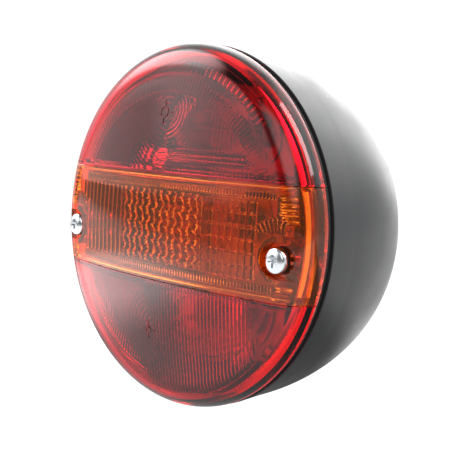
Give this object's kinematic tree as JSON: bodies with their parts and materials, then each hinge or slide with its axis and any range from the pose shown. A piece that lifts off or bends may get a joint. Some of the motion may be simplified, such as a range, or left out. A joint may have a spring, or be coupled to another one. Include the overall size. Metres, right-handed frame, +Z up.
{
  "type": "trailer tail light",
  "caption": "Round rear lamp: black bowl housing, domed red, amber and red lens held by screws, and bayonet bulbs on a steel strip inside.",
  "frame": {"origin": "centre of the flat back face that meets the vehicle", "axes": "-Y out through the lens, +Y into the vehicle, +Z up, +X to the right of a person who faces the lens"},
  "size_m": [0.14, 0.1024, 0.14],
  "materials": {
    "black_plastic": "moulded black polypropylene, satin gloss",
    "rubber": "moulded black rubber",
    "red_lens": "clear red moulded lens plastic, polished outside",
    "amber_lens": "clear amber moulded lens plastic, polished outside",
    "zinc": "bright zinc-plated steel",
    "brass": "plain brass",
    "glass": "clear bulb glass",
    "amber_glass": "amber-coated bulb glass",
    "tungsten": "bright drawn wire",
    "black_glass": "black bulb-base glass, glossy",
    "fibre_board": "brown pressed fibre board",
    "spring_steel": "plain spring wire"
  },
  "bodies": {
    "root": {"housing": "black_plastic", "lens_gasket": "rubber", "chassis_screw_upper_left": "zinc", "chassis_screw_lower_left": "zinc", "fixing_bolt_left": "zinc", "fixing_washer_left": "zinc", "fixing_nut_left": "zinc", "chassis_screw_upper_right": "zinc", "chassis_screw_lower_right": "zinc", "fixing_bolt_right": "zinc", "fixing_washer_right": "zinc", "fixing_nut_right": "zinc", "chassis_strip": "zinc", "light_baffle_upper": "zinc", "light_baffle_lower": "zinc", "earth_terminal": "brass", "earth_rivet": "zinc", "cable_grommet": "rubber", "stop_bulb_holder": "zinc", "stop_holder_rivet_1": "zinc", "stop_holder_rivet_2": "zinc", "stop_base_disc": "fibre_board", "stop_contact_spring": "spring_steel", "indicator_bulb_holder": "zinc", "indicator_holder_rivet_1": "zinc", "indicator_holder_rivet_2": "zinc", "indicator_base_disc": "fibre_board", "indicator_contact_spring": "spring_steel", "tail_bulb_holder": "zinc", "tail_holder_rivet_1": "zinc", "tail_holder_rivet_2": "zinc", "tail_base_disc": "fibre_board", "tail_contact_spring": "spring_steel"},
    "lens": {"lens_red_upper": "red_lens", "lens_amber": "amber_lens", "lens_red_lower": "red_lens"},
    "left_washer": {"screw_washer_left": "rubber"},
    "left_screw": {"lens_screw_left": "zinc"},
    "right_washer": {"screw_washer_right": "rubber"},
    "right_screw": {"lens_screw_right": "zinc"},
    "stop_plunger": {"stop_contact_plunger": "brass"},
    "stop_bulb": {"stop_bulb_glass": "glass", "stop_bulb_cap": "brass", "stop_bulb_insulator": "black_glass", "stop_bulb_contact": "zinc", "stop_bulb_filament": "tungsten"},
    "indicator_plunger": {"indicator_contact_plunger": "brass"},
    "indicator_bulb": {"indicator_bulb_glass": "amber_glass", "indicator_bulb_cap": "brass", "indicator_bulb_insulator": "black_glass", "indicator_bulb_contact": "zinc", "indicator_bulb_filament": "tungsten"},
    "tail_plunger": {"tail_contact_plunger": "brass"},
    "tail_bulb": {"tail_bulb_glass": "glass", "tail_bulb_cap": "brass", "tail_bulb_insulator": "black_glass", "tail_bulb_contact": "zinc", "tail_bulb_filament": "tungsten"}
  },
  "joints": [
    {"name": "lens_lift", "type": "slide", "parent": "root", "child": "lens", "axis": [0, -1, 0], "range_m": [0, 0.06]},
    {"name": "left_screw_out", "type": "slide", "parent": "lens", "child": "left_washer", "axis": [0, -1, 0], "range_m": [0, 0.014]},
    {"name": "left_screw_turn", "type": "hinge", "parent": "left_washer", "child": "left_screw", "pos_m": [-0.0574, -0.079, -0.0054], "axis": [0, -1, 0], "range_deg": [0, 2820]},
    {"name": "right_screw_out", "type": "slide", "parent": "lens", "child": "right_washer", "axis": [0, -1, 0], "range_m": [0, 0.014]},
    {"name": "right_screw_turn", "type": "hinge", "parent": "right_washer", "child": "right_screw", "pos_m": [0.0574, -0.079, -0.0054], "axis": [0, -1, 0], "range_deg": [0, 2820]},
    {"name": "stop_bulb_press", "type": "slide", "parent": "root", "child": "stop_plunger", "axis": [0, 1, 0], "range_m": [0, 0.0025], "stiffness_N_per_m": 2000, "springref_m": -0.002, "deforming": ["stop_contact_spring"]},
    {"name": "stop_bulb_turn", "type": "hinge", "parent": "stop_plunger", "child": "stop_bulb", "pos_m": [0, -0.03, 0.038], "axis": [0, -1, 0], "range_deg": [0, 20]},
    {"name": "indicator_bulb_press", "type": "slide", "parent": "root", "child": "indicator_plunger", "axis": [0, 1, 0], "range_m": [0, 0.0025], "stiffness_N_per_m": 2000, "springref_m": -0.002, "deforming": ["indicator_contact_spring"]},
    {"name": "indicator_bulb_turn", "type": "hinge", "parent": "indicator_plunger", "child": "indicator_bulb", "pos_m": [0, -0.03, 0], "axis": [0, -1, 0], "range_deg": [0, 20]},
    {"name": "tail_bulb_press", "type": "slide", "parent": "root", "child": "tail_plunger", "axis": [0, 1, 0], "range_m": [0, 0.0025], "stiffness_N_per_m": 2000, "springref_m": -0.002, "deforming": ["tail_contact_spring"]},
    {"name": "tail_bulb_turn", "type": "hinge", "parent": "tail_plunger", "child": "tail_bulb", "pos_m": [0, -0.03, -0.038], "axis": [0, -1, 0], "range_deg": [0, 20]}
  ],
  "couplings": [
    {"joint": "left_screw_turn", "follows": "left_screw_out", "rad_per_m": 3490.7},
    {"joint": "right_screw_turn", "follows": "right_screw_out", "rad_per_m": 3490.7}
  ]
}
